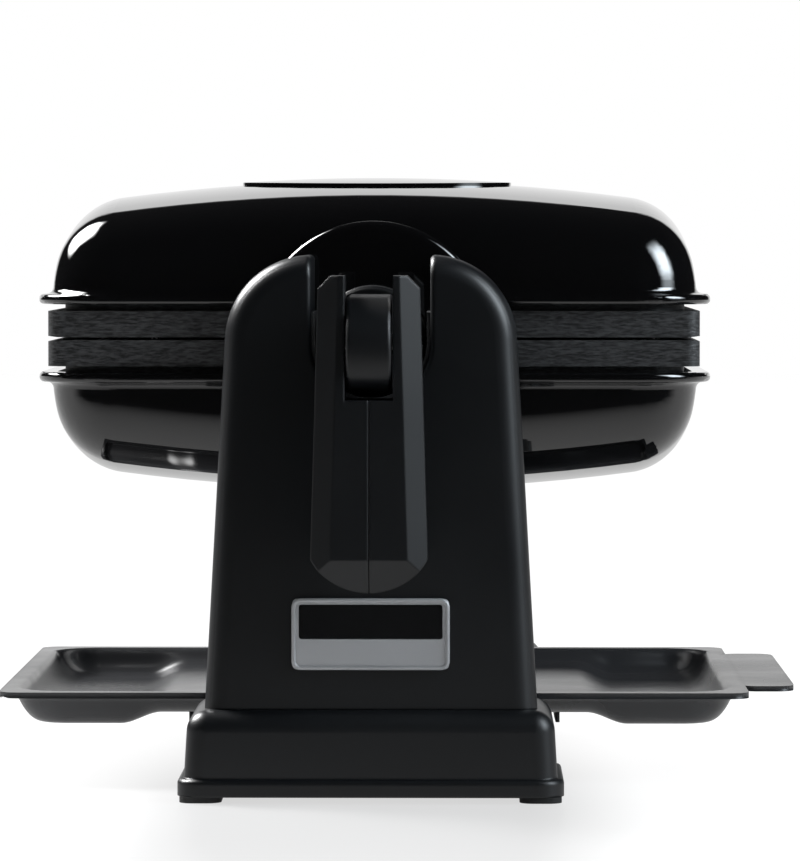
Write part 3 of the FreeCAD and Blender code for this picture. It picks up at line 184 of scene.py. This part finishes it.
def makeFloor(settings):
    half = settings["half"]
    level = settings["level"]
    mesh = bpy.data.meshes.new("floor")
    corners = [(-half, -half, level), (half, -half, level), (half, half, level), (-half, half, level)]
    mesh.from_pydata(corners, [], [(0, 1, 2, 3)])
    floor = bpy.data.objects.new("floor", mesh)
    scene.collection.objects.link(floor)
    material = bpy.data.materials.new("floor")
    material.use_nodes = True
    tree = material.node_tree
    tree.nodes.clear()
    out = addNode(tree, "ShaderNodeOutputMaterial")
    diffuse = addNode(tree, "ShaderNodeBsdfDiffuse")
    diffuse.inputs["Color"].default_value = settings["tint"]
    path = addNode(tree, "ShaderNodeLightPath")
    place = addNode(tree, "ShaderNodeTexCoord")
    parts = addNode(tree, "ShaderNodeSeparateXYZ")
    connect(tree, place.outputs["Object"], parts.inputs[0])
    mirrored = addRange(tree, parts.outputs["Y"], settings["farEdge"], settings["nearEdge"],
                        settings["mirrorFar"], settings["mirrorNear"])
    glossy = addMath(tree, "MULTIPLY", path.outputs["Is Glossy Ray"], mirrored)
    # painted shadow: the glow sinks in front of the plinth; the distance outside a small box is counted in
    # shares of the fade and smoothed
    steps = [
        ("SUBTRACT", settings["paintedShadeMiddle"]),
        ("ABSOLUTE", None),
        ("SUBTRACT", settings["paintedShadeHalf"]),
        ("MAXIMUM", (0.0, 0.0, 0.0)),
        ("DIVIDE", settings["paintedShadeFade"]),
        ("LENGTH", None),
    ]
    away = place.outputs["Object"]
    for operation, value in steps:
        step = addNode(tree, "ShaderNodeVectorMath", operation=operation)
        connect(tree, away, step.inputs[0])
        if value:
            step.inputs[1].default_value = value
        away = step.outputs["Value"] if operation == "LENGTH" else step.outputs["Vector"]
    paintedShadowGlow = settings["glow"] * (1.0 - settings["paintedShadeDepth"])
    bright = addRange(tree, away, 0.0, 1.0, paintedShadowGlow, settings["glow"])
    seen = addMath(tree, "MULTIPLY", path.outputs["Is Camera Ray"], bright)
    strength = addMath(tree, "MAXIMUM", seen, glossy)
    glow = addNode(tree, "ShaderNodeEmission")
    connect(tree, strength, glow.inputs["Strength"])
    spread = addNode(tree, "ShaderNodeVectorMath", operation="LENGTH")
    connect(tree, place.outputs["Object"], spread.inputs[0])
    light = addRange(tree, spread.outputs["Value"], settings["shadeNear"], settings["shadeFar"],
                     1.0 - settings["shade"], 1.0)
    straight = addMath(tree, "MULTIPLY", path.outputs["Is Camera Ray"], light)
    share = addMath(tree, "MAXIMUM", straight, path.outputs["Is Glossy Ray"])
    mix = addNode(tree, "ShaderNodeMixShader")
    connect(tree, share, mix.inputs[0])
    connect(tree, diffuse.outputs[0], mix.inputs[1])
    connect(tree, glow.outputs[0], mix.inputs[2])
    gloss = addNode(tree, "ShaderNodeBsdfGlossy")
    gloss.inputs["Roughness"].default_value = settings["polishRough"]
    sheen = addNode(tree, "ShaderNodeMixShader")
    grazing = addNode(tree, "ShaderNodeLayerWeight")
    glance = addMath(tree, "POWER", grazing.outputs["Facing"], settings["glance"])
    polish = addMath(tree, "MULTIPLY", glance, settings["polish"])
    polish = addMath(tree, "MULTIPLY", path.outputs["Is Camera Ray"], polish)
    connect(tree, polish, sheen.inputs[0])
    connect(tree, mix.outputs[0], sheen.inputs[1])
    connect(tree, gloss.outputs[0], sheen.inputs[2])
    connect(tree, sheen.outputs[0], out.inputs["Surface"])
    mesh.materials.append(material)


makeFloor(floorSet)
print("stage: floor and world")


# Lights

lightSets = [
    {"name": "keyLeft", "place": (-1.10, 0.64, 1.26), "aim": (-0.05, -0.10, 0.17), "wide": 1.05,
     "tall": 1.20, "power": 265.0, "fade": 0.42},
    {"name": "fillRight", "place": (1.36, -0.60, 0.95), "aim": (0.05, -0.10, 0.17), "wide": 1.00,
     "tall": 1.90, "power": 84.0, "fade": 0.40, "tint": (0.84, 0.93, 1.0)},
    {"name": "topBack", "place": (0.0, 0.75, 1.45), "aim": (0.0, 0.0, 0.15), "wide": 1.6, "tall": 0.7,
     "power": 16.0, "mirrored": False},
]


def fadeLight(data, fade):
    # the panel is bright in the middle and falls off smoothly over the given share at each border
    data.use_nodes = True
    tree = data.node_tree
    place = addNode(tree, "ShaderNodeNewGeometry")
    parts = addNode(tree, "ShaderNodeSeparateXYZ")
    connect(tree, place.outputs["Parametric"], parts.inputs[0])
    falls = []
    for axis in ("X", "Y"):
        low = parts.outputs[axis]
        high = addMath(tree, "SUBTRACT", 1.0, low)
        near = addMath(tree, "MINIMUM", low, high)
        falls.append(addRange(tree, near, 0.0, fade, 0.0, 1.0))
    connect(tree, addMath(tree, "MULTIPLY", *falls), tree.nodes["Emission"].inputs["Strength"])


def makeLight(settings):
    data = bpy.data.lights.new(settings["name"], "AREA")
    data.shape = "RECTANGLE"
    data.size = settings["wide"]
    data.size_y = settings["tall"]
    data.energy = settings["power"]
    data.color = settings.get("tint", (1.0, 1.0, 1.0))
    if "fade" in settings:
        fadeLight(data, settings["fade"])
    lamp = bpy.data.objects.new(settings["name"], data)
    lamp.location = settings["place"]
    lamp.visible_camera = False
    lamp.visible_glossy = settings.get("mirrored", True)
    across = [aim - at for aim, at in zip(settings["aim"], settings["place"])]
    turn = math.atan2(across[1], across[0]) - math.pi / 2
    rise = math.atan2(across[2], math.hypot(across[0], across[1]))
    lamp.rotation_euler = (math.pi / 2 + rise, 0.0, turn)
    scene.collection.objects.link(lamp)


for lightSet in lightSets:
    makeLight(lightSet)
print("stage: lights")


# Shared effects as node groups

grainSet = {
    "fineDetail": 2.0,
    "slowScale": 14.0,
    "slowDetail": 3.0,
    "cloudLow": 0.3,
    "cloudHigh": 0.7,
    "streakLow": 0.35,
    "streakHigh": 0.65,
    "edgeSamples": 6,
}


def makeGrainGroup(settings):
    # a height field of fine noise for moulded grain, with a slow cloud that varies the sheen
    group = bpy.data.node_groups.new("grain", "ShaderNodeTree")
    sockets = group.interface
    sockets.new_socket("Scale", in_out="INPUT", socket_type="NodeSocketFloat")
    sockets.new_socket("Stretch", in_out="INPUT", socket_type="NodeSocketVector")
    sockets.new_socket("Height", in_out="OUTPUT", socket_type="NodeSocketFloat")
    sockets.new_socket("Cloud", in_out="OUTPUT", socket_type="NodeSocketFloat")
    start = addNode(group, "NodeGroupInput")
    end = addNode(group, "NodeGroupOutput")
    place = addNode(group, "ShaderNodeTexCoord")
    stretch = addNode(group, "ShaderNodeVectorMath", operation="MULTIPLY")
    connect(group, place.outputs["Object"], stretch.inputs[0])
    connect(group, start.outputs["Stretch"], stretch.inputs[1])
    fine = addNode(group, "ShaderNodeTexNoise")
    fine.inputs["Detail"].default_value = settings["fineDetail"]
    connect(group, stretch.outputs[0], fine.inputs["Vector"])
    connect(group, start.outputs["Scale"], fine.inputs["Scale"])
    slow = addNode(group, "ShaderNodeTexNoise")
    slow.inputs["Scale"].default_value = settings["slowScale"]
    slow.inputs["Detail"].default_value = settings["slowDetail"]
    connect(group, place.outputs["Object"], slow.inputs["Vector"])
    connect(group, fine.outputs[0], end.inputs["Height"])
    connect(group, slow.outputs[0], end.inputs["Cloud"])
    return group


grainGroup = makeGrainGroup(grainSet)


# Materials, one per slot of the record

finishSets = {
    "satin_black": {"tint": (0.0034, 0.0040, 0.0050), "rough": 0.38, "sway": 0.04, "scale": 1500.0,
                    "bump": 0.10, "depth": 0.00006, "specular": 0.5, "edge": 0.0013},
    "cover_black": {"tint": (0.012, 0.012, 0.013), "rough": 0.50, "sway": 0.05, "scale": 1200.0,
                    "bump": 0.15, "depth": 0.00008, "specular": 0.4},
    "gloss_black": {"tint": (0.0018, 0.0018, 0.002), "rough": 0.055, "sway": 0.02, "scale": 700.0,
                    "bump": 0.0, "depth": 0.00002, "specular": 0.5, "coat": 1.0},
    "cast_plate": {"tint": (0.021, 0.0217, 0.0228), "rough": 0.46, "sway": 0.12, "scale": 1000.0,
                   "bump": 0.55, "depth": 0.0004, "specular": 0.4,
                   "stretch": (0.30, 0.30, 1.5), "speckle": 0.6},
    "tray_grey": {"tint": (0.019, 0.0195, 0.021), "rough": 0.23, "sway": 0.05, "scale": 1400.0,
                  "bump": 0.08, "depth": 0.00006, "specular": 0.5, "edge": 0.0022},
    "badge_metal": {"tint": (0.33, 0.335, 0.345), "rough": 0.40, "sway": 0.06, "scale": 300.0,
                    "bump": 0.25, "depth": 0.00006, "specular": 0.5, "metal": 0.55,
                    "stretch": (0.05, 1.0, 9.0), "edge": 0.0005},
    "badge_black": {"tint": (0.004, 0.004, 0.0042), "rough": 0.12, "sway": 0.03, "scale": 600.0,
                    "bump": 0.0, "depth": 0.00002, "specular": 0.5},
    "foot_rubber": {"tint": (0.014, 0.014, 0.014), "rough": 0.75, "sway": 0.05, "scale": 900.0,
                    "bump": 0.3, "depth": 0.0001, "specular": 0.3},
    "steel": {"tint": (0.50, 0.50, 0.51), "rough": 0.26, "sway": 0.08, "scale": 500.0,
              "bump": 0.12, "depth": 0.00005, "specular": 0.5, "metal": 1.0, "stretch": (1.0, 0.2, 1.0)},
    "heater_steel": {"tint": (0.20, 0.195, 0.19), "rough": 0.45, "sway": 0.10, "scale": 350.0,
                     "bump": 0.2, "depth": 0.0001, "specular": 0.5, "metal": 1.0},
    "reflector": {"tint": (0.76, 0.765, 0.77), "rough": 0.20, "sway": 0.08, "scale": 120.0,
                  "bump": 0.1, "depth": 0.0001, "specular": 0.5, "metal": 1.0},
    "bearing": {"tint": (0.030, 0.031, 0.032), "rough": 0.45, "sway": 0.05, "scale": 1000.0,
                "bump": 0.1, "depth": 0.00006, "specular": 0.4},
    "control_brown": {"tint": (0.12, 0.06, 0.035), "rough": 0.5, "sway": 0.05, "scale": 800.0,
                      "bump": 0.15, "depth": 0.00008, "specular": 0.4},
    "lamp_red": {"tint": (0.42, 0.012, 0.008), "rough": 0.12, "sway": 0.02, "scale": 500.0,
                 "bump": 0.0, "depth": 0.00002, "specular": 0.5},
    "lamp_green": {"tint": (0.020, 0.26, 0.05), "rough": 0.12, "sway": 0.02, "scale": 500.0,
                   "bump": 0.0, "depth": 0.00002, "specular": 0.5},
}


def makeFinish(name, settings):
    material = bpy.data.materials.new(name)
    material.use_nodes = True
    tree = material.node_tree
    shader = tree.nodes["Principled BSDF"]
    tint = settings["tint"]
    shader.inputs["Base Color"].default_value = (*tint, 1.0)
    shader.inputs["Metallic"].default_value = settings.get("metal", 0.0)
    shader.inputs["Specular IOR Level"].default_value = settings["specular"]
    shader.inputs["Coat Weight"].default_value = settings.get("coat", 0.0)
    grain = addNode(tree, "ShaderNodeGroup")
    grain.node_tree = grainGroup
    grain.inputs["Scale"].default_value = settings["scale"]
    grain.inputs["Stretch"].default_value = settings.get("stretch", (1.0, 1.0, 1.0))
    sway = settings["sway"]
    rough = addRange(tree, grain.outputs["Cloud"], grainSet["cloudLow"], grainSet["cloudHigh"],
                     settings["rough"] - sway, settings["rough"] + sway)
    connect(tree, rough, shader.inputs["Roughness"])
    softened = None
    if "edge" in settings:
        edge = addNode(tree, "ShaderNodeBevel", samples=grainSet["edgeSamples"])
        edge.inputs["Radius"].default_value = settings["edge"]
        softened = edge.outputs[0]
    if settings["bump"] > 0:
        bump = addNode(tree, "ShaderNodeBump")
        if softened:
            connect(tree, softened, bump.inputs["Normal"])
        bump.inputs["Strength"].default_value = settings["bump"]
        bump.inputs["Distance"].default_value = settings["depth"]
        connect(tree, grain.outputs["Height"], bump.inputs["Height"])
        connect(tree, bump.outputs[0], shader.inputs["Normal"])
    if "speckle" in settings:
        spread = settings["speckle"]
        streak = addRange(tree, grain.outputs["Height"], grainSet["streakLow"], grainSet["streakHigh"],
                          1.0 - spread, 1.0 + spread, False)
        shade = addNode(tree, "ShaderNodeVectorMath", operation="SCALE")
        shade.inputs[0].default_value = tint
        connect(tree, streak, shade.inputs["Scale"])
        connect(tree, shade.outputs[0], shader.inputs["Base Color"])
    return material


finishes = {name: makeFinish(name, settings) for name, settings in finishSets.items()}
for subpart in frame["record"]["subparts"]:
    node = frame["nodes"][subpart["node"]]
    node.data.materials.clear()
    node.data.materials.append(finishes[subpart["material_slot"]])
print("stage: materials")


# New pieces are numpy sheets: a grid of points becomes quads, shaded smooth

def sheetFaces(rows, columns, start, flip):
    index = start + np.arange(rows * columns).reshape(rows, columns)
    quads = np.stack([index[:-1, :-1], index[:-1, 1:], index[1:, 1:], index[1:, :-1]], axis=-1)
    quads = quads.reshape(-1, 4)
    return quads[:, ::-1] if flip else quads


def makePiece(name, sheets, body, slotName, nodes=()):
    points = []
    faces = []
    count = 0
    for grid, flip in sheets:
        rows, columns = grid.shape[:2]
        points.append(grid.reshape(-1, 3))
        faces.append(sheetFaces(rows, columns, count, flip))
        count += rows * columns
    mesh = bpy.data.meshes.new(name)
    mesh.from_pydata(np.concatenate(points).tolist(), [], np.concatenate(faces).tolist())
    mesh.polygons.foreach_set("use_smooth", np.ones(len(mesh.polygons), dtype=bool))
    mesh.materials.append(finishes[slotName])
    mesh.update()
    piece = bpy.data.objects.new(name, mesh)
    scene.collection.objects.link(piece)
    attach(piece, body)
    if nodes:
        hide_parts(*nodes)


def smooth(value):
    value = np.clip(value, 0.0, 1.0)
    return value * value * (3.0 - 2.0 * value)


def closedShell(top, bottom):
    # the two sheets and four strips that join their borders
    sheets = [(top, False), (bottom, True)]
    borders = [(np.s_[0, :], True), (np.s_[-1, :], False), (np.s_[:, 0], False), (np.s_[:, -1], True)]
    for pick, flip in borders:
        sheets.append((np.stack([bottom[pick], top[pick]]), flip))
    return sheets


def slab(low, high, corner, count):
    # a flat plate with rounded plan corners between two opposite corners of a box
    middle = [(a + b) / 2 for a, b in zip(low, high)]
    half = [(b - a) / 2 for a, b in zip(low, high)]
    across, along = roundedPlan(half[0], half[1], corner, count, count)
    top = np.stack([middle[0] + across, middle[1] + along, np.full_like(across, high[2])], axis=-1)
    bottom = top.copy()
    bottom[..., 2] = low[2]
    return closedShell(top, bottom)


def roundedPlan(halfX, halfY, corner, rows, columns):
    # a grid over a rectangle whose corner points are pulled in onto quarter circles
    across, along = np.meshgrid(np.linspace(-halfX, halfX, rows), np.linspace(-halfY, halfY, columns),
                                indexing="ij")
    overX = np.maximum(np.abs(across) - (halfX - corner), 0.0)
    overY = np.maximum(np.abs(along) - (halfY - corner), 0.0)
    reach = np.hypot(overX, overY)
    shrink = np.where(reach > corner, corner / np.maximum(reach, 1e-9), 1.0)
    across = np.sign(across) * (np.abs(across) - overX * (1.0 - shrink))
    along = np.sign(along) * (np.abs(along) - overY * (1.0 - shrink))
    return across, along


def insideDepth(across, along, halfX, halfY, corner):
    # distance inside a rounded rectangle, negative outside it
    overX = np.abs(across) - (halfX - corner)
    overY = np.abs(along) - (halfY - corner)
    outer = np.hypot(np.maximum(overX, 0.0), np.maximum(overY, 0.0))
    return corner - outer - np.minimum(np.maximum(overX, overY), 0.0)


# Drip tray: a pressed sheet whose height falls from the rim to a floor with a deeper well at each end

traySet = {
    "halfX": 0.1564,
    "halfY": 0.1150,
    "corner": 0.008,
    "rimTop": 0.0380,
    "rimThick": 0.0025,
    "rimWide": 0.0075,
    "wall": 0.0020,
    "panCorner": 0.020,
    "run": 0.0125,
    "bowl": 2.5,
    "floorTop": 0.0304,
    "wellTop": 0.0256,
    "wellStart": 0.089,
    "wellFull": 0.106,
    "rows": 250,
    "columns": 170,
    "tabLow": (0.1540, -0.081, 0.0356),
    "tabHigh": (0.1774, 0.081, 0.0379),
    "tabCorner": 0.008,
    "tabGrid": 33,
    "ribX": 0.077,
    "ribHalf": 0.001,
    "ribLong": 0.092,
    "ribLow": 0.0236,
    "ribHigh": 0.0290,
    "ribGrid": 9,
}


def trayHeights(across, along, settings, outward):
    # one minus a power of the share of the run still to go: steep at the rim and level at the floor
    halfX = settings["halfX"] - settings["rimWide"] + outward
    halfY = settings["halfY"] - settings["rimWide"] + outward
    inside = insideDepth(across, along, halfX, halfY, settings["panCorner"] + outward)
    slope = np.clip(inside / settings["run"], 0.0, 1.0)
    sink = 1.0 - (1.0 - slope) ** settings["bowl"]
    ramp = settings["wellFull"] - settings["wellStart"]
    wells = smooth((np.abs(across) - settings["wellStart"]) / ramp)
    floor = settings["floorTop"] + wells * (settings["wellTop"] - settings["floorTop"]) - outward
    rim = settings["rimTop"] - (settings["rimThick"] if outward else 0.0)
    return rim + sink * (floor - rim)


def makeTray(settings):
    across, along = roundedPlan(settings["halfX"], settings["halfY"], settings["corner"], settings["rows"],
                                settings["columns"])
    top = np.stack([across, along, trayHeights(across, along, settings, 0.0)], axis=-1)
    bottom = np.stack([across, along, trayHeights(across, along, settings, settings["wall"])], axis=-1)
    sheets = closedShell(top, bottom)
    sheets += slab(settings["tabLow"], settings["tabHigh"], settings["tabCorner"], settings["tabGrid"])
    for side in (-1, 1):
        x = side * settings["ribX"]
        low = (x - settings["ribHalf"], -settings["ribLong"], settings["ribLow"])
        high = (x + settings["ribHalf"], settings["ribLong"], settings["ribHigh"])
        sheets += slab(low, high, settings["ribHalf"] / 2, settings["ribGrid"])
    makePiece("dripTray", sheets, "tray", "tray_grey", ["drip_tray"])


makeTray(traySet)
print("stage: tray")


# Badge border: a bright bead that runs round the plate's front edge

beadSet = {
    "radius": 0.0009,
    "corner": 0.0028,
    "inset": 0.0006,
    "lift": 0.0001,
    "turns": 9,
    "arcSteps": 8,
}


def roundedPath(halfX, halfZ, corner, steps):
    # quarter circles at the four corners, in order, as one closed line with its outward directions
    points = []
    outward = []
    for quarter, (signX, signZ) in enumerate(((1, 1), (-1, 1), (-1, -1), (1, -1))):
        angles = math.pi / 2 * (quarter + np.linspace(0.0, 1.0, steps))
        ring = np.stack([np.cos(angles), np.sin(angles)], axis=-1)
        middle = np.array([signX * (halfX - corner), signZ * (halfZ - corner)])
        points.append(middle + corner * ring)
        outward.append(ring)
    points = np.concatenate(points)
    outward = np.concatenate(outward)
    return np.vstack([points, points[:1]]), np.vstack([outward, outward[:1]])


def makeBead(settings):
    low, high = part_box("badge_plate")
    middle = [(a + b) / 2 for a, b in zip(low, high)]
    halfX = (high[0] - low[0]) / 2 - settings["inset"]
    halfZ = (high[2] - low[2]) / 2 - settings["inset"]
    line, outward = roundedPath(halfX, halfZ, settings["corner"], settings["arcSteps"])
    angles = np.linspace(0.0, 2.0 * math.pi, settings["turns"])
    radius = settings["radius"]
    grid = np.zeros((len(line), len(angles), 3))
    grid[..., 0] = middle[0] + line[:, None, 0] + radius * outward[:, None, 0] * np.cos(angles)
    grid[..., 1] = low[1] + settings["lift"] + radius * np.sin(angles)
    grid[..., 2] = middle[2] + line[:, None, 1] + radius * outward[:, None, 1] * np.cos(angles)
    makePiece("badgeBead", [(grid, False)], "stand", "badge_metal")


makeBead(beadSet)
print("stage: badge bead")


# End


print("stage: scene built")
